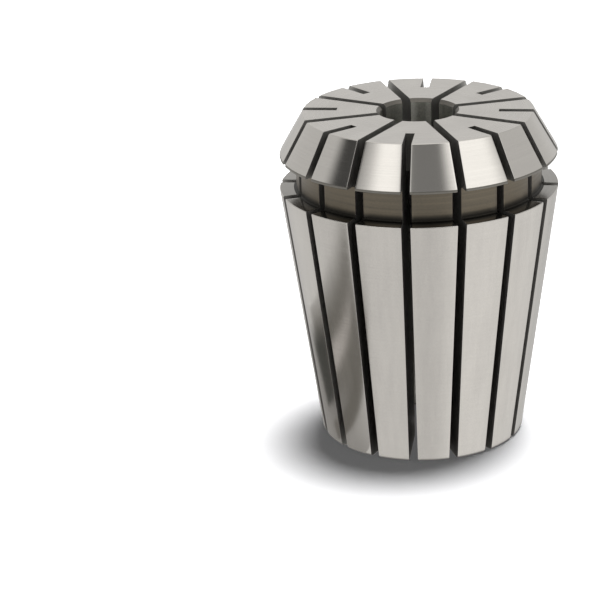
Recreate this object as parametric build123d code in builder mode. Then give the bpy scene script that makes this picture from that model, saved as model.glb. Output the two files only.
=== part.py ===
"""Spring collet with an 8 degree taper, nominal size 32, bored for a 9 mm shank.

The collet is one ring of spring steel, turned, slit by sixteen radial saw cuts, hardened
and ground. Eight cuts run out of the nose and eight run out of the tail, and each stops
at a web round the bore near its other end. The webs join sixteen fingers into a zigzag
that closes evenly on the shank when the collet is pressed into its seat.

Sizes are in millimetres. The origin is the centre of the tail face, +Z runs along the
bore towards the nose, and one of the cuts out of the tail faces -Y.
"""

import os
from math import radians, sqrt, tan

from build123d import *

# Overall sizes
LENGTH = 40.0  # tail face to nose face
TOP_DIAMETER = 33.2  # top of the long taper, the widest place
BODY_HALF_ANGLE = 8.0  # the long taper, which seats in the holder
NOSE_HALF_ANGLE = 30.0  # the short cone, which the clamping nut presses on

# Nose cone, and the groove that the nut's extractor ring snaps into
NOSE_HEIGHT = 5.15  # top of the groove to the nose face
RIM_STEP = 0.1  # how far the rim of the nose stands inside the top of the taper
RIM_LAND = 0.25  # narrow cylinder at the foot of the nose cone
GROOVE_WIDTH = 3.9
GROOVE_DEPTH = 1.9  # below the rim
GROOVE_CORNER_RADIUS = 0.3

# Bore
BORE_DIAMETER = 9.0
BORE_CHAMFER = 0.4

# Broken edges
EDGE_BREAK = 0.12  # nose face, rim and top of the long taper
TAIL_CHAMFER = 0.4

# Saw cuts
CUTS_PER_END = 8
CUT_WIDTH = 1.05  # a 1 mm saw cuts a little wide
SAW_RADIUS = 25.0  # each cut climbs out of the bore along an arc of the saw
SAW_DIP = 1.5  # how far the saw's edge passes the wall of the bore
NOSE_WEB = 5.1  # metal left round the bore at the shallow end of a cut out of the tail
NOSE_WEB_LENGTH = 4.5
TAIL_WEB = 3.5  # metal left round the bore at the shallow end of a cut out of the nose
TAIL_WEB_LENGTH = 3.5
OVERRUN = 2.0  # how far a cutting solid reaches past the metal

# Worked out from the sizes above
body_top_radius = TOP_DIAMETER / 2
rim_radius = body_top_radius - RIM_STEP
groove_radius = rim_radius - GROOVE_DEPTH
bore_radius = BORE_DIAMETER / 2
groove_top = LENGTH - NOSE_HEIGHT
groove_foot = groove_top - GROOVE_WIDTH
cone_foot = groove_top + RIM_LAND
face_radius = rim_radius - (LENGTH - cone_foot) * tan(radians(NOSE_HALF_ANGLE))
tail_radius = body_top_radius - groove_foot * tan(radians(BODY_HALF_ANGLE))
saw_floor_radius = bore_radius - SAW_DIP
outer_reach = body_top_radius + OVERRUN
cut_spacing = 360 / CUTS_PER_END
first_cut_angle = -90.0

# Corners of the blank's half section, as distance from the axis and height
bore_at_tail = (bore_radius, 0)
tail_edge = (tail_radius, 0)
body_top_edge = (body_top_radius, groove_foot)
groove_foot_corner = (groove_radius, groove_foot)
groove_top_corner = (groove_radius, groove_top)
rim_lower_edge = (rim_radius, groove_top)
rim_upper_edge = (rim_radius, cone_foot)
nose_edge = (face_radius, LENGTH)
bore_at_nose = (bore_radius, LENGTH)


def corners_of(section, *places):
    """The section's vertices at the given corners."""
    return [section.vertices().sort_by_distance((*place, 0))[0] for place in places]


def saw_cut(open_end, closed_end, web_length, web):
    """One cut, in the half plane of +X. It is deep at the open end and shallow over the web."""
    to_open = 1 if open_end > closed_end else -1
    web_radius = bore_radius + web
    climb = sqrt(SAW_RADIUS**2 - (SAW_RADIUS + saw_floor_radius - web_radius) ** 2)
    web_face = closed_end + to_open * web_length
    climb_start = web_face + to_open * climb
    past_open_end = open_end + to_open * OVERRUN
    past_closed_end = closed_end - to_open * OVERRUN
    with BuildPart() as cut:
        with BuildSketch(Plane.XZ):
            with BuildLine():
                Polyline(
                    (saw_floor_radius, climb_start),
                    (saw_floor_radius, past_open_end),
                    (outer_reach, past_open_end),
                    (outer_reach, past_closed_end),
                    (web_radius, past_closed_end),
                    (web_radius, web_face),
                )
                TangentArc(
                    (saw_floor_radius, climb_start),
                    (web_radius, web_face),
                    tangent=(0, -to_open),
                )
            make_face()
        extrude(amount=CUT_WIDTH / 2, both=True)
    return cut.part


nose_cut = saw_cut(LENGTH, 0, TAIL_WEB_LENGTH, TAIL_WEB)
tail_cut = saw_cut(0, LENGTH, NOSE_WEB_LENGTH, NOSE_WEB)

with BuildPart() as collet:
    # The blank: half of its section, spun about the axis
    with BuildSketch(Plane.XZ) as section:
        with BuildLine():
            Polyline(
                bore_at_tail,
                tail_edge,
                body_top_edge,
                groove_foot_corner,
                groove_top_corner,
                rim_lower_edge,
                rim_upper_edge,
                nose_edge,
                bore_at_nose,
                close=True,
            )
        make_face()
        fillet(corners_of(section, groove_foot_corner, groove_top_corner), GROOVE_CORNER_RADIUS)
        chamfer(corners_of(section, bore_at_tail, bore_at_nose), BORE_CHAMFER)
        chamfer(corners_of(section, body_top_edge, rim_lower_edge, nose_edge), EDGE_BREAK)
        chamfer(corners_of(section, tail_edge), TAIL_CHAMFER)
    revolve(axis=Axis.Z)

    # The saw cuts, by turns out of the tail and out of the nose
    with PolarLocations(0, CUTS_PER_END, start_angle=first_cut_angle):
        add(tail_cut, mode=Mode.SUBTRACT)
    with PolarLocations(0, CUTS_PER_END, start_angle=first_cut_angle + cut_spacing / 2):
        add(nose_cut, mode=Mode.SUBTRACT)

collet.part.label = "collet"

os.makedirs("parts", exist_ok=True)
export_step(collet.part, "parts/collet.step")
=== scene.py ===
"""Looks of a slit spring collet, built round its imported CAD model.

Lengths are in metres, in the frame of the CAD model: the origin is the centre of the tail
face, +Z runs towards the nose, and one of the cuts that run out of the tail faces -Y.
"""

from math import asin, atan2, cos, hypot, pi, radians, sin, sqrt, tan

import bmesh
import bpy
from mathutils import Matrix, Vector


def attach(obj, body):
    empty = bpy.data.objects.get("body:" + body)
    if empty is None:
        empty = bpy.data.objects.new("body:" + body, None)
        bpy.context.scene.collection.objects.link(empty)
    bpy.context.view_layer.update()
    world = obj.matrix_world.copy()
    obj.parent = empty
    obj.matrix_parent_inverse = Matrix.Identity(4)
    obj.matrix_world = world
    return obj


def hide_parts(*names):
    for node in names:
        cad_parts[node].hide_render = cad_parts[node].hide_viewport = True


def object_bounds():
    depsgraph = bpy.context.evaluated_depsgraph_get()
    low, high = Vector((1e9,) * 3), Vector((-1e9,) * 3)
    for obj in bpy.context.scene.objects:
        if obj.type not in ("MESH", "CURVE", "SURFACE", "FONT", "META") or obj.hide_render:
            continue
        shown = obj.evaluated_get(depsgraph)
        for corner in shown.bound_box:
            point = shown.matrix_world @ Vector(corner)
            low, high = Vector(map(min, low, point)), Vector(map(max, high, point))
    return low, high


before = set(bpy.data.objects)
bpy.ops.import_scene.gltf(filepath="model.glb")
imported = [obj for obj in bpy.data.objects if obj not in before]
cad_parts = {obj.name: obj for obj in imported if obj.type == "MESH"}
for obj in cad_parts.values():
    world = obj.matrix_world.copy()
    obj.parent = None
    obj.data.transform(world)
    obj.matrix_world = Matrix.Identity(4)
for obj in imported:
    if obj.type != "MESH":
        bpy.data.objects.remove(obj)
cad_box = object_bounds()

MM = 0.001


# ---------------------------------------------------------------------------------------
# Camera. A telephoto lens, 12 cm above the bench and 27 cm from the collet's axis. It looks
# down on the nose face and has the collet to the right of the picture's middle.
# ---------------------------------------------------------------------------------------

CAMERA_DISTANCE = 274.8 * MM
CAMERA_HEIGHT = 121.0 * MM
CAMERA_AZIMUTH = radians(5.41)
CAMERA_HEADING = radians(8.59)
CAMERA_TILT = radians(20.73)
CAMERA_ROLL = radians(-2.05)
FOCAL_LENGTH = 147.5
SENSOR_WIDTH = 36.0

camera_data = bpy.data.cameras.new("camera")
camera_data.lens = FOCAL_LENGTH
camera_data.sensor_width = SENSOR_WIDTH
camera = bpy.data.objects.new("camera", camera_data)
camera_place = Vector(
    (CAMERA_DISTANCE * sin(CAMERA_AZIMUTH), -CAMERA_DISTANCE * cos(CAMERA_AZIMUTH), CAMERA_HEIGHT)
)
camera.matrix_world = (
    Matrix.Translation(camera_place)
    @ Matrix.Rotation(CAMERA_HEADING, 4, "Z")
    @ Matrix.Rotation(pi / 2 - CAMERA_TILT, 4, "X")
    @ Matrix.Rotation(CAMERA_ROLL, 4, "Z")
)
bpy.context.scene.collection.objects.link(camera)
bpy.context.scene.camera = camera


# ---------------------------------------------------------------------------------------
# Collet. One ring of hardened spring steel: turned, slit by eight saw cuts out of the tail
# and eight out of the nose, then ground. One finger is modelled, from the middle of one cut
# to the middle of the next, and it is mirrored and turned into the rest.
# ---------------------------------------------------------------------------------------

TAPER_ANGLE = radians(8.0)
NOSE_CONE_ANGLE = radians(30.0)
EDGE_BREAK = 0.12 * MM
TOP_RADIUS = 16.6 * MM
RIM_RADIUS = 16.5 * MM
RIM_LAND = 0.25 * MM
NOSE_HEIGHT = 5.15 * MM
GROOVE_WIDTH = 3.9 * MM
GROOVE_RADIUS = 14.6 * MM
GROOVE_CORNER = 0.3 * MM
BORE_RADIUS = 4.5 * MM
BORE_CHAMFER = 0.4 * MM
TAIL_CHAMFER = 0.4 * MM
CUTS_PER_END = 8
HALF_CUT = 0.525 * MM
SAW_RADIUS = 25.0 * MM
SAW_DIP = 1.5 * MM
NOSE_WEB_RADIUS = 9.6 * MM
NOSE_WEB_LENGTH = 4.5 * MM
TAIL_WEB_RADIUS = 8.0 * MM
TAIL_WEB_LENGTH = 3.5 * MM
SPIN_STEPS = 24
ARC_STEPS = 10
CUT_EDGE_BREAK = 0.03 * MM
SHARPEST_ROUND = radians(35)
SAME_PLACE = 0.001 * MM

tail = cad_box[0].z
nose = cad_box[1].z
groove_top = nose - NOSE_HEIGHT
groove_foot = groove_top - GROOVE_WIDTH
cone_foot = groove_top + RIM_LAND
face_radius = RIM_RADIUS - (nose - cone_foot) * tan(NOSE_CONE_ANGLE)
tail_radius = TOP_RADIUS - (groove_foot - tail) * tan(TAPER_ANGLE)
saw_floor = BORE_RADIUS - SAW_DIP
finger_angle = pi / CUTS_PER_END


def saw_arc(web_end, web_length, web_radius):
    """Floor of a cut from the web's corner to the bore, as (distance from the axis, height)."""
    into = 1 if web_end == tail else -1
    hub = saw_floor + SAW_RADIUS
    corner = web_end + into * web_length
    hub_height = corner + into * sqrt(SAW_RADIUS**2 - (hub - web_radius) ** 2)
    first = asin((hub - web_radius) / SAW_RADIUS)
    last = asin((hub - BORE_RADIUS) / SAW_RADIUS)
    points = []
    for step in range(ARC_STEPS + 1):
        turn = first + (last - first) * step / ARC_STEPS
        points.append((hub - SAW_RADIUS * sin(turn), hub_height - into * SAW_RADIUS * cos(turn)))
    return points


def on_wall(distance):
    """Radius of a point of a cut's wall that lies at this distance along the wall."""
    return hypot(distance, HALF_CUT)


nose_arc = saw_arc(nose, NOSE_WEB_LENGTH, NOSE_WEB_RADIUS)
tail_arc = saw_arc(tail, TAIL_WEB_LENGTH, TAIL_WEB_RADIUS)

# Corners of the section: radius, height, size of the broken edge, steps in it
outline = [
    (BORE_RADIUS, tail, BORE_CHAMFER, 1),
    (on_wall(TAIL_WEB_RADIUS), tail, 0, 0),
    (tail_radius, tail, TAIL_CHAMFER, 3),
    (TOP_RADIUS, groove_foot, EDGE_BREAK, 3),
    (GROOVE_RADIUS, groove_foot, GROOVE_CORNER, 5),
    (GROOVE_RADIUS, groove_top, GROOVE_CORNER, 5),
    (RIM_RADIUS, groove_top, EDGE_BREAK, 3),
    (RIM_RADIUS, cone_foot, EDGE_BREAK, 3),
    (face_radius, nose, EDGE_BREAK, 3),
    (on_wall(NOSE_WEB_RADIUS), nose, 0, 0),
    (BORE_RADIUS, nose, BORE_CHAMFER, 1),
    (BORE_RADIUS, nose_arc[-1][1], 0, 0),
    (BORE_RADIUS, tail_arc[-1][1], 0, 0),
]

collet = bmesh.new()
corners = [collet.verts.new((radius, 0, height)) for radius, height, size, steps in outline]
collet.faces.new(corners)
for corner, (radius, height, size, steps) in zip(corners, outline):
    if steps:
        bmesh.ops.bevel(
            collet, geom=[corner], offset=size, offset_type="OFFSET", segments=steps,
            profile=0.5, affect="VERTICES", material=-1,
        )

# The section is spun to the next cut, then both ends are drawn in to the walls of the cuts
bmesh.ops.spin(
    collet, geom=collet.verts[:] + collet.edges[:] + collet.faces[:], cent=(0, 0, 0),
    axis=(0, 0, 1), dvec=(0, 0, 0), angle=finger_angle, steps=SPIN_STEPS, use_merge=False,
)
for vert in collet.verts:
    radius = hypot(vert.co.x, vert.co.y)
    share = atan2(vert.co.y, vert.co.x) / finger_angle
    gap = asin(HALF_CUT / radius)
    angle = gap + share * (finger_angle - 2 * gap)
    vert.co.x = radius * cos(angle)
    vert.co.y = radius * sin(angle)
bmesh.ops.recalc_face_normals(collet, faces=collet.faces[:])


def add_web(wall, middle, arc, web_end):
    """Splits the web off the wall of a cut, and carries it to the middle of the cut."""
    along = Vector((cos(middle), sin(middle), 0))
    away = wall.calc_center_median()
    away = (away - along * away.dot(along)).xy.to_3d().normalized() * HALF_CUT

    def wall_vert(distance, height):
        place = along * distance + away + Vector((0, 0, height))
        return min(wall.verts, key=lambda vert: (vert.co - place).length)

    outer = wall_vert(arc[0][0], web_end)
    inner = wall_vert(BORE_RADIUS, arc[-1][1])
    floor = [along * distance + away + Vector((0, 0, height)) for distance, height in arc[:-1]]
    other = bmesh.utils.face_split(wall, outer, inner, coords=floor)[0]
    web = min((wall, other), key=lambda face: face.calc_area())
    middle_face = bmesh.ops.extrude_discrete_faces(collet, faces=[web])["faces"][0]
    for vert in middle_face.verts:
        distance = vert.co.dot(along)
        if distance < BORE_RADIUS + BORE_CHAMFER:
            distance = on_wall(distance)
        vert.co = along * distance + Vector((0, 0, vert.co.z))
    bmesh.ops.delete(collet, geom=[middle_face], context="FACES_ONLY")


# The two ends of the spun section are the walls of the cuts, and its only many-sided faces
tail_cut_wall, nose_cut_wall = sorted(
    (face for face in collet.faces if len(face.verts) > 4),
    key=lambda face: face.calc_center_median().y,
)
add_web(tail_cut_wall, 0.0, nose_arc, nose)
add_web(nose_cut_wall, finger_angle, tail_arc, tail)

# The finger and its mirror image, joined by the web at the nose, are repeated round the axis
bmesh.ops.mirror(
    collet, geom=collet.verts[:] + collet.edges[:] + collet.faces[:],
    matrix=Matrix.Identity(4), merge_dist=SAME_PLACE, axis="Y",
)
pair_angle = 2 * finger_angle
bmesh.ops.spin(
    collet, geom=collet.verts[:] + collet.edges[:] + collet.faces[:], cent=(0, 0, 0),
    axis=(0, 0, 1), dvec=(0, 0, 0), angle=2 * pi - pair_angle, steps=CUTS_PER_END - 1,
    use_duplicate=True, use_merge=False,
)
bmesh.ops.remove_doubles(collet, verts=collet.verts[:], dist=SAME_PLACE)
bmesh.ops.rotate(
    collet, verts=collet.verts[:], cent=(0, 0, 0), matrix=Matrix.Rotation(-pi / 2, 3, "Z")
)
bmesh.ops.recalc_face_normals(collet, faces=collet.faces[:])

# Names of the collet's surfaces, and the limits that tell them apart by normal and place
SURFACES = [
    "ground_taper", "body_shoulder", "groove_corner", "turned_groove", "nose_rim",
    "ground_nose_cone", "nose_face", "bore_chamfer", "bore", "sawn_cut", "cut_end", "tail_face",
]
SQUARE_ON = 0.9
LEANING = 0.3
SIDEWAYS = 0.7
WEB_MARGIN = 1.02


def surface_of(face):
    """Which of the collet's surfaces a face belongs to."""
    centre = face.calc_center_median()
    radius = hypot(centre.x, centre.y)
    outwards = face.normal.dot(Vector((centre.x, centre.y, 0)).normalized())
    if hypot(outwards, face.normal.z) < SIDEWAYS:
        return "sawn_cut"
    if outwards < -SQUARE_ON:
        return "bore"
    if outwards < -LEANING:
        return "bore_chamfer"
    if radius < NOSE_WEB_RADIUS * WEB_MARGIN and outwards > LEANING:
        return "cut_end"
    if centre.z > nose - SAME_PLACE:
        return "nose_face"
    if centre.z > cone_foot + EDGE_BREAK:
        return "ground_nose_cone"
    if centre.z > groove_top + SAME_PLACE:
        return "nose_rim"
    if centre.z > groove_foot + GROOVE_CORNER:
        return "turned_groove"
    if centre.z > groove_foot + SAME_PLACE:
        return "groove_corner"
    if centre.z > groove_foot - SAME_PLACE:
        return "body_shoulder"
    if outwards > SQUARE_ON:
        return "ground_taper"
    return "tail_face"


for face in collet.faces:
    face.material_index = SURFACES.index(surface_of(face))
    face.smooth = True

# The edges round the cuts are broken, and the edges that stay sharp are shaded as sharp
sawn = {SURFACES.index("sawn_cut"), SURFACES.index("cut_end")}
cut_edges = [
    edge for edge in collet.edges
    if len(edge.link_faces) == 2
    and [face.material_index in sawn for face in edge.link_faces].count(True) == 1
]
bmesh.ops.bevel(
    collet, geom=cut_edges, offset=CUT_EDGE_BREAK, offset_type="OFFSET", segments=2, profile=0.5,
    affect="EDGES", material=-1,
)
for edge in collet.edges:
    edge.smooth = edge.calc_face_angle() < SHARPEST_ROUND

piece_mesh = bpy.data.meshes.new("collet_body")
collet.to_mesh(piece_mesh)
collet.free()
collet_body = bpy.data.objects.new("collet_body", piece_mesh)
bpy.context.scene.collection.objects.link(collet_body)
normals = collet_body.modifiers.new("flat_walls_and_true_cones", "WEIGHTED_NORMAL")
normals.mode = "FACE_AREA"
normals.weight = 100
normals.keep_sharp = True

# The steel is left bare: ground tapers, bore and nose face, a turned groove and sawn cuts.
# The groove's corner and foot, the shoulder, the rim, the bore's chamfer and the ends of the
# cuts have a darker colour, which stands in for shade.

# Scales of the steels' noise in counts per millimetre, the middle part of its range, and the
# weights with which it acts on colour, roughness and relief
WAVER_PER_MM = 0.05
MOTTLE_PER_MM = 0.25
GRAIN_PER_MM = 5.0
BANDS_PER_MM = 1.1
BANDS_UP_PER_MM = 0.02
NOISE_LOW = 0.3
NOISE_HIGH = 0.7
GRAIN_TONE = 0.3
ROUGHNESS_SWING = 0.15
GRAIN_DEPTH = 0.5
GRAIN_STRENGTH = 0.5
QUARTER_TURN = 0.25


class Nodes:
    """A material's node tree, with short calls for the nodes that the materials share."""

    def __init__(self, name):
        self.material = bpy.data.materials.new(name)
        self.material.use_nodes = True
        self.tree = self.material.node_tree
        self.shader = self.tree.nodes["Principled BSDF"]
        self.place = self.tree.nodes.new("ShaderNodeTexCoord").outputs["Object"]

    def link(self, source, target):
        self.tree.links.new(source, target)

    def math(self, operation, first, second=0.0):
        node = self.tree.nodes.new("ShaderNodeMath")
        node.operation = operation
        for socket, value in zip(node.inputs, (first, second)):
            if isinstance(value, (int, float)):
                socket.default_value = value
            else:
                self.link(value, socket)
        return node.outputs[0]

    def round_lines(self, along, lines_per_mm, waver_per_mm):
        """Vector in which noise draws lines round the axis, close set along height or radius."""
        parts = self.tree.nodes.new("ShaderNodeSeparateXYZ")
        self.link(self.place, parts.inputs[0])
        squares = [self.math("POWER", parts.outputs[name], 2) for name in ("X", "Y")]
        radius = self.math("SQRT", self.math("ADD", *squares))
        across = parts.outputs["Z"] if along == "height" else radius
        joined = self.tree.nodes.new("ShaderNodeCombineXYZ")
        self.link(self.math("MULTIPLY", across, lines_per_mm / MM), joined.inputs["X"])
        self.link(self.math("MULTIPLY", parts.outputs["X"], waver_per_mm / MM), joined.inputs["Y"])
        self.link(self.math("MULTIPLY", parts.outputs["Y"], waver_per_mm / MM), joined.inputs["Z"])
        return joined.outputs[0]

    def upright(self):
        """Vector in which noise draws soft upright bands, side by side round the axis."""
        mapping = self.tree.nodes.new("ShaderNodeMapping")
        sideways, upwards = BANDS_PER_MM / MM, BANDS_UP_PER_MM / MM
        mapping.inputs["Scale"].default_value = (sideways, sideways, upwards)
        self.link(self.place, mapping.inputs["Vector"])
        return mapping.outputs[0]

    def noise(self, vector, scale, detail):
        node = self.tree.nodes.new("ShaderNodeTexNoise")
        node.inputs["Scale"].default_value = scale
        node.inputs["Detail"].default_value = detail
        self.link(vector, node.inputs["Vector"])
        return node.outputs["Fac"]

    def spread(self, value, low, high):
        """The middle of a noise's range, stretched from low to high."""
        node = self.tree.nodes.new("ShaderNodeMapRange")
        node.inputs["From Min"].default_value = NOISE_LOW
        node.inputs["From Max"].default_value = NOISE_HIGH
        node.inputs["To Min"].default_value = low
        node.inputs["To Max"].default_value = high
        self.link(value, node.inputs["Value"])
        return node.outputs[0]

    def colours(self, value, first, second):
        node = self.tree.nodes.new("ShaderNodeMix")
        node.data_type = "RGBA"
        node.inputs["A"].default_value = (*first, 1)
        node.inputs["B"].default_value = (*second, 1)
        self.link(value, node.inputs["Factor"])
        return node.outputs["Result"]

    def foot(self, colour, foot_colour, low, high):
        """The colour, going over to another one from a height down to a lower one."""
        parts = self.tree.nodes.new("ShaderNodeSeparateXYZ")
        self.link(self.place, parts.inputs[0])
        rise = self.tree.nodes.new("ShaderNodeMapRange")
        rise.interpolation_type = "SMOOTHSTEP"
        rise.inputs["From Min"].default_value = low
        rise.inputs["From Max"].default_value = high
        self.link(parts.outputs["Z"], rise.inputs["Value"])
        node = self.tree.nodes.new("ShaderNodeMix")
        node.data_type = "RGBA"
        node.inputs["A"].default_value = (*foot_colour, 1)
        self.link(colour, node.inputs["B"])
        self.link(rise.outputs[0], node.inputs["Factor"])
        return node.outputs["Result"]

    def bump(self, height, distance, strength, before=None):
        node = self.tree.nodes.new("ShaderNodeBump")
        node.inputs["Distance"].default_value = distance
        node.inputs["Strength"].default_value = strength
        self.link(height, node.inputs["Height"])
        if before:
            self.link(before, node.inputs["Normal"])
        return node.outputs[0]


def ground_steel(
    name, light, dark, roughness, along, lines_per_mm, line_depth, line_tone=0.3, anisotropy=0.0,
    streaks=0.0, foot=None,
):
    """Bare steel with the fine lines of a grinding wheel or a turning tool round the axis."""
    nodes = Nodes(name)
    wavering = nodes.round_lines(along, lines_per_mm, WAVER_PER_MM)
    lines = nodes.noise(wavering, scale=1.0, detail=3.0)
    mottle = nodes.noise(nodes.place, scale=MOTTLE_PER_MM / MM, detail=4.0)
    grain = nodes.noise(nodes.place, scale=GRAIN_PER_MM / MM, detail=2.0)
    mottle_tone = 1.0 - GRAIN_TONE - line_tone - streaks
    shades = nodes.math(
        "ADD", nodes.math("MULTIPLY", lines, line_tone), nodes.math("MULTIPLY", mottle, mottle_tone)
    )
    shades = nodes.math("ADD", shades, nodes.math("MULTIPLY", grain, GRAIN_TONE))
    if streaks:
        bands = nodes.noise(nodes.upright(), scale=1.0, detail=2.0)
        shades = nodes.math("ADD", shades, nodes.math("MULTIPLY", bands, streaks))
    nodes.shader.inputs["Metallic"].default_value = 1.0
    if anisotropy:
        nodes.shader.inputs["Anisotropic"].default_value = anisotropy
        nodes.shader.inputs["Anisotropic Rotation"].default_value = QUARTER_TURN
        tangent = nodes.tree.nodes.new("ShaderNodeTangent")
        tangent.direction_type = "RADIAL"
        tangent.axis = "Z"
        nodes.link(tangent.outputs[0], nodes.shader.inputs["Tangent"])
    colour = nodes.colours(nodes.spread(shades, 0, 1), light, dark)
    if foot:
        colour = nodes.foot(colour, *foot)
    nodes.link(colour, nodes.shader.inputs["Base Color"])
    smoothest, roughest = roughness * (1 - ROUGHNESS_SWING), roughness * (1 + ROUGHNESS_SWING)
    nodes.link(nodes.spread(lines, smoothest, roughest), nodes.shader.inputs["Roughness"])
    line_bump = nodes.bump(lines, distance=line_depth, strength=1.0)
    grain_depth = line_depth * GRAIN_DEPTH
    grain_bump = nodes.bump(grain, grain_depth, GRAIN_STRENGTH, before=line_bump)
    nodes.link(grain_bump, nodes.shader.inputs["Normal"])
    return nodes.material


# Of each surface: its lightest and darkest colour, roughness, what its lines lie close along,
# how many there are in a millimetre and how deep they are
steels = {
    "ground_taper": dict(
        light=(0.47, 0.456, 0.434), dark=(0.405, 0.393, 0.376), roughness=0.22, along="height",
        lines_per_mm=10.0, line_depth=0.0005 * MM, line_tone=0.1, anisotropy=0.5, streaks=0.4,
    ),
    "body_shoulder": dict(
        light=(0.29, 0.282, 0.268), dark=(0.23, 0.225, 0.214), roughness=0.18, along="radius",
        lines_per_mm=8.0, line_depth=0.0005 * MM,
    ),
    "groove_corner": dict(
        light=(0.022, 0.021, 0.018), dark=(0.016, 0.015, 0.013), roughness=0.5, along="height",
        lines_per_mm=8.0, line_depth=0.0005 * MM,
    ),
    "turned_groove": dict(
        light=(0.138, 0.118, 0.089), dark=(0.098, 0.088, 0.072), roughness=0.38, along="height",
        lines_per_mm=5.0, line_depth=0.002 * MM, line_tone=0.5,
        foot=((0.035, 0.033, 0.029), groove_foot + GROOVE_CORNER, groove_foot + 1.0 * MM),
    ),
    "nose_rim": dict(
        light=(0.175, 0.168, 0.153), dark=(0.14, 0.134, 0.122), roughness=0.3, along="height",
        lines_per_mm=8.0, line_depth=0.001 * MM,
    ),
    "ground_nose_cone": dict(
        light=(0.53, 0.515, 0.49), dark=(0.485, 0.472, 0.45), roughness=0.13, along="height",
        lines_per_mm=8.0, line_depth=0.0007 * MM, line_tone=0.5, anisotropy=0.5,
    ),
    "nose_face": dict(
        light=(0.585, 0.57, 0.545), dark=(0.49, 0.474, 0.453), roughness=0.30, along="radius",
        lines_per_mm=5.0, line_depth=0.0002 * MM, line_tone=0.15,
    ),
    "bore_chamfer": dict(
        light=(0.15, 0.142, 0.128), dark=(0.115, 0.109, 0.098), roughness=0.35, along="height",
        lines_per_mm=8.0, line_depth=0.0008 * MM,
    ),
    "bore": dict(
        light=(0.85, 0.85, 0.79), dark=(0.36, 0.36, 0.335), roughness=0.35, along="height",
        lines_per_mm=8.0, line_depth=0.0008 * MM, line_tone=0.1, streaks=0.5,
    ),
    "sawn_cut": dict(
        light=(0.35, 0.345, 0.33), dark=(0.27, 0.266, 0.256), roughness=0.5, along="radius",
        lines_per_mm=5.0, line_depth=0.004 * MM,
    ),
    "cut_end": dict(
        light=(0.12, 0.118, 0.11), dark=(0.08, 0.078, 0.072), roughness=0.5, along="radius",
        lines_per_mm=5.0, line_depth=0.004 * MM,
    ),
    "tail_face": dict(
        light=(0.5, 0.485, 0.465), dark=(0.45, 0.435, 0.42), roughness=0.32, along="radius",
        lines_per_mm=8.0, line_depth=0.0012 * MM,
    ),
}
for surface in SURFACES:
    piece_mesh.materials.append(ground_steel(surface, **steels[surface]))

# The steel sends no light onto the board
collet_body.visible_diffuse = False
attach(collet_body, "root")
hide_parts("collet")


# ---------------------------------------------------------------------------------------
# Floor and studio light. A white sheet of matt board, which only two far lamps light, and a
# tent of pale cloth with boxes and flags behind it, which only the steel sees. The backdrop
# that the camera sees is plain white.
# ---------------------------------------------------------------------------------------

FLOOR_SIZE = 6.0
BOARD_COLOUR = (0.93, 0.93, 0.94, 1)
BOARD_ROUGHNESS = 0.9

floor_shape = bmesh.new()
bmesh.ops.create_grid(floor_shape, x_segments=1, y_segments=1, size=FLOOR_SIZE / 2)
floor_mesh = bpy.data.meshes.new("floor")
floor_shape.to_mesh(floor_mesh)
floor_shape.free()
floor = bpy.data.objects.new("floor", floor_mesh)
bpy.context.scene.collection.objects.link(floor)
board = Nodes("white_board")
board.shader.inputs["Base Color"].default_value = BOARD_COLOUR
board.shader.inputs["Roughness"].default_value = BOARD_ROUGHNESS
floor_mesh.materials.append(board.material)
floor.visible_glossy = False

# Five cards that only the steel sees, which paint reflections into it. A black one stands at
# the left, with a blacker one and a pale strip just in front of it: a painted reflection of a
# smaller collet lying there, of its lit side and of its shadow. A grey one lies round the left
# and the back of the collet, and a dark disc lies under its foot: painted shade, for the shadow
# on the board round the collet, which the steel doesn't see.
FLAG_NEAR = Vector((-18.1, -2.9, 0)) * MM
FLAG_FAR = Vector((-34.0, -29.5, 0)) * MM
FLAG_FOOT = Vector((7.7, -4.6, 0.1)) * MM
IN_FRONT = 0.3
GREY_TINT = (1, 0.97, 0.93)
GREY_FROM = -35
GREY_TO = -180
GREY_STEPS = 20
GREY_INNER = 8.0 * MM
GREY_OUTER = 48.0 * MM
GREY_MIDDLE = 12.0 * MM
GREY_MIDDLE_TURN = -155
GREY_FADES_FROM = 15.0 * MM
GREY_FADES_TO = 35.0 * MM
CARD_HEIGHT = 0.05 * MM
FOOT_INNER = 1.0 * MM
FOOT_OUTER = 12.8 * MM
UP = (0, 0, 1)


def add_card(name, faces, radiance, tint, fade_by, fade_about, fades_from, fades_to):
    """A card that glows faintly and that only the steel sees. It fades by height or distance."""
    shape = bmesh.new()
    for places in faces:
        shape.faces.new([shape.verts.new(place) for place in places])
    card_mesh = bpy.data.meshes.new(name)
    shape.to_mesh(card_mesh)
    shape.free()
    card = bpy.data.objects.new(name, card_mesh)
    bpy.context.scene.collection.objects.link(card)
    nodes = Nodes(name)
    nodes.tree.nodes.remove(nodes.shader)
    measure = nodes.tree.nodes.new("ShaderNodeVectorMath")
    measure.operation = fade_by
    measure.inputs[1].default_value = fade_about
    nodes.link(nodes.place, measure.inputs[0])
    fade = nodes.tree.nodes.new("ShaderNodeMapRange")
    fade.interpolation_type = "SMOOTHSTEP"
    fade.inputs["From Min"].default_value = fades_from
    fade.inputs["From Max"].default_value = fades_to
    nodes.link(measure.outputs["Value"], fade.inputs["Value"])
    glow = nodes.tree.nodes.new("ShaderNodeEmission")
    glow.inputs["Color"].default_value = (*tint, 1)
    glow.inputs["Strength"].default_value = radiance
    clear = nodes.tree.nodes.new("ShaderNodeBsdfTransparent")
    mix = nodes.tree.nodes.new("ShaderNodeMixShader")
    nodes.link(fade.outputs[0], mix.inputs[0])
    nodes.link(glow.outputs[0], mix.inputs[1])
    nodes.link(clear.outputs[0], mix.inputs[2])
    nodes.link(mix.outputs[0], nodes.tree.nodes["Material Output"].inputs["Surface"])
    card_mesh.materials.append(nodes.material)
    card.visible_camera = False
    card.visible_diffuse = False
    card.visible_shadow = False


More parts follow.
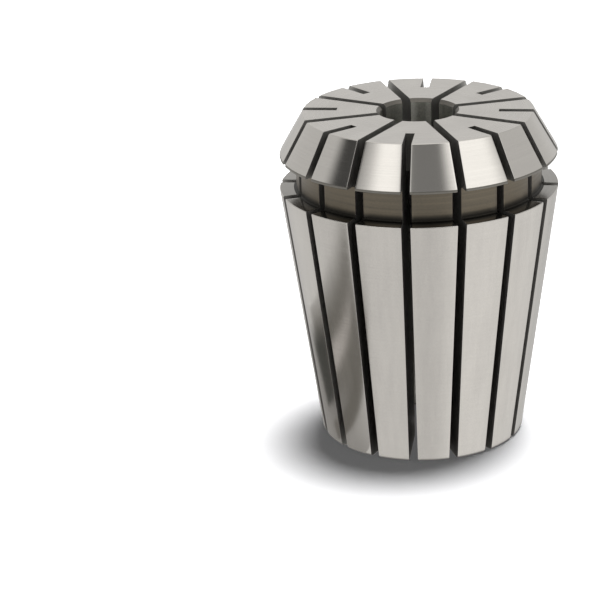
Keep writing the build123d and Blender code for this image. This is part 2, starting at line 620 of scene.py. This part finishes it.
def on_board(radius, azimuth):
    """A place just above the board, with azimuth in degrees from the camera's side."""
    turn = radians(azimuth) + CAMERA_AZIMUTH
    return (radius * sin(turn), -radius * cos(turn), CARD_HEIGHT)


def ring_on_board(inner, outer, first, last, steps):
    """Faces of a ring or a part of one, just above the board."""
    turns = [first + (last - first) * step / steps for step in range(steps + 1)]
    return [
        (on_board(inner, start), on_board(outer, start), on_board(outer, end), on_board(inner, end))
        for start, end in zip(turns, turns[1:])
    ]


def on_flag(along, height, forward=0.0):
    """A place on the flag, in millimetres from the foot of its near edge."""
    line = (FLAG_FAR - FLAG_NEAR).normalized()
    across = Vector((-line.y, line.x, 0))
    return FLAG_NEAR + (line * along + across * forward + Vector((0, 0, height))) * MM


add_card(
    "black_card",
    [
        (on_flag(0, 0), on_flag(31, 0), on_flag(31, 20), on_flag(0, 14)),
        (on_flag(0, 0), on_flag(31, 0), on_flag(31, 0) + FLAG_FOOT, on_flag(0, 0) + FLAG_FOOT),
    ],
    radiance=0.27, tint=(1, 0.95, 0.86), fade_by="DOT_PRODUCT", fade_about=UP,
    fades_from=9.0 * MM, fades_to=19.0 * MM,
)
add_card(
    "blackest_card",
    [
        (
            on_flag(-1, 0, IN_FRONT), on_flag(4.5, 0, IN_FRONT),
            on_flag(4.5, 13, IN_FRONT), on_flag(-1.6, 12, IN_FRONT),
        ),
    ],
    radiance=0.1, tint=(1, 1, 0.92), fade_by="DOT_PRODUCT", fade_about=UP,
    fades_from=8.0 * MM, fades_to=13.0 * MM,
)
add_card(
    "pale_strip",
    [
        (
            on_flag(5.5, 3.3, IN_FRONT), on_flag(24, 2.2, IN_FRONT),
            on_flag(24, 5, IN_FRONT), on_flag(5.5, 7.4, IN_FRONT),
        ),
    ],
    radiance=0.85, tint=(1, 0.95, 0.91), fade_by="DOT_PRODUCT", fade_about=UP,
    fades_from=7.0 * MM, fades_to=7.6 * MM,
)
add_card(
    "grey_card", ring_on_board(GREY_INNER, GREY_OUTER, GREY_FROM, GREY_TO, GREY_STEPS),
    radiance=0.45, tint=GREY_TINT, fade_by="DISTANCE",
    fade_about=on_board(GREY_MIDDLE, GREY_MIDDLE_TURN),
    fades_from=GREY_FADES_FROM, fades_to=GREY_FADES_TO,
)
add_card(
    "foot_shade", ring_on_board(FOOT_INNER, FOOT_OUTER, 0, 360, 2 * GREY_STEPS),
    radiance=0.1, tint=GREY_TINT, fade_by="LENGTH", fade_about=(0, 0, 0),
    fades_from=tail_radius - TAIL_CHAMFER, fades_to=FOOT_OUTER,
)

# The tent's light from its cloth, from the board below and from overhead, and the elevations
# between which one goes over to the next
TENT_RADIANCE = 0.82
BOARD_RADIANCE = 1.06
OVERHEAD_RADIANCE = 1.2
BACKDROP_RADIANCE = 1.06
TENT_COLOUR = (1.0, 0.985, 0.96, 1)
HORIZON = (radians(-6), radians(6))
FOOT_OF_BOXES = (radians(18), radians(29))
EDGE_OF_OVERHEAD = (radians(52), radians(68))

# Boxes and flags behind the cloth, and patches of the board below. Each has its azimuth from
# the camera's side, half width and softness of the edge, in degrees, and what it adds.
tent_boxes = [
    (-71, 12.5, 7, -0.74),
    (-30.5, 14, 9, 0.95),
    (8, 18.7, 7, -0.52),
    (54.5, 23.5, 10, 0.95),
    (131, 4, 4, -0.3),
    (153, 10, 10, 0.2),
    (180, 30, 20, 0.06),
]
board_patches = [
    (-33, 25, 15, 0.08),
    (55, 30, 15, 0.12),
    (75, 50, 15, 0.2),
    (180, 36, 20, -0.38),
]

world = bpy.data.worlds.new("tent")
bpy.context.scene.world = world
world.use_nodes = True
world.cycles_visibility.diffuse = False
tent = world.node_tree


def tent_node(kind, *values):
    """A node of the tent, with numbers, vectors or other nodes' outputs as its inputs."""
    node = tent.nodes.new(kind)
    for socket, value in zip(node.inputs, values):
        if isinstance(value, bpy.types.NodeSocket):
            tent.links.new(value, socket)
        else:
            socket.default_value = value
    return node


def tent_math(operation, first, second=0.0):
    """The output of a math node of the tent."""
    node = tent_node("ShaderNodeMath", first, second)
    node.operation = operation
    return node.outputs[0]


def tent_step(value, start, end, low, high):
    """A soft step from low to high while the value goes from start to end."""
    node = tent_node("ShaderNodeMapRange", value, start, end, low, high)
    node.interpolation_type = "SMOOTHSTEP"
    return node.outputs[0]


def tent_rise(elevations, low, high):
    """A soft step from low to high between two elevations."""
    start, end = (sin(elevation) for elevation in elevations)
    return tent_step(rise, start, end, low, high)


def ring_of_light(radiance, patches):
    """Even light all round, with soft-edged patches added to it."""
    for azimuth, half_width, softness, change in patches:
        turn = radians(azimuth) + CAMERA_AZIMUTH
        towards = tent_node("ShaderNodeVectorMath", level, (sin(turn), -cos(turn), 0))
        towards.operation = "DOT_PRODUCT"
        away = tent_math("ARCCOSINE", towards.outputs["Value"])
        inner = radians(half_width - softness)
        outer = radians(half_width + softness)
        radiance = tent_math("ADD", radiance, tent_step(away, outer, inner, 0.0, change))
    return radiance


direction = tent_node("ShaderNodeTexCoord").outputs["Generated"]
parts = tent_node("ShaderNodeSeparateXYZ", direction)
flat = tent_node("ShaderNodeVectorMath", direction, (1, 1, 0))
flat.operation = "MULTIPLY"
unit = tent_node("ShaderNodeVectorMath", flat.outputs[0])
unit.operation = "NORMALIZE"
level = unit.outputs[0]
rise = parts.outputs["Z"]

cloth = ring_of_light(TENT_RADIANCE, tent_boxes)
board_glow = ring_of_light(BOARD_RADIANCE, board_patches)
sides = tent_rise(HORIZON, board_glow, TENT_RADIANCE)
sides = tent_rise(FOOT_OF_BOXES, sides, cloth)
tent_light = tent_rise(EDGE_OF_OVERHEAD, sides, OVERHEAD_RADIANCE)
to_camera = tent_node("ShaderNodeLightPath").outputs["Is Camera Ray"]
whole = tent_step(to_camera, 0.0, 1.0, tent_light, BACKDROP_RADIANCE)
tent.links.new(whole, tent.nodes["Background"].inputs["Strength"])
tent.nodes["Background"].inputs["Color"].default_value = TENT_COLOUR


def far_light(name, azimuth, elevation, breadth, white_level):
    """A broad lamp far off for the board alone, in degrees, azimuth from the camera's side."""
    data = bpy.data.lights.new(name, "SUN")
    data.angle = radians(breadth)
    data.energy = white_level * pi
    light = bpy.data.objects.new(name, data)
    turn, lift = radians(azimuth) + CAMERA_AZIMUTH, radians(elevation)
    towards = Vector((sin(turn) * cos(lift), -cos(turn) * cos(lift), sin(lift)))
    light.rotation_euler = towards.to_track_quat("Z", "Y").to_euler()
    light.visible_glossy = False
    bpy.context.scene.collection.objects.link(light)


far_light("top_light", azimuth=150, elevation=78.5, breadth=27, white_level=1.95)
far_light("all_round_light", azimuth=112, elevation=85, breadth=150, white_level=0.085)

# Core inside the body that only casts shadow, and keeps the lamps from shining through the cuts
CORE_SKIN = 0.4 * MM
CORE_SIDES = 64
core_shape = bmesh.new()
bmesh.ops.create_cone(
    core_shape, cap_ends=True, segments=CORE_SIDES, radius1=tail_radius - CORE_SKIN,
    radius2=TOP_RADIUS - CORE_SKIN, depth=groove_foot - tail - 2 * CORE_SKIN,
    matrix=Matrix.Translation((0, 0, (groove_foot + tail) / 2)),
)
core_mesh = bpy.data.meshes.new("shade_core")
core_shape.to_mesh(core_mesh)
core_shape.free()
core = bpy.data.objects.new("shade_core", core_mesh)
bpy.context.scene.collection.objects.link(core)
core.visible_camera = False
core.visible_glossy = False
core.visible_diffuse = False

bpy.context.scene.view_settings.view_transform = "Standard"
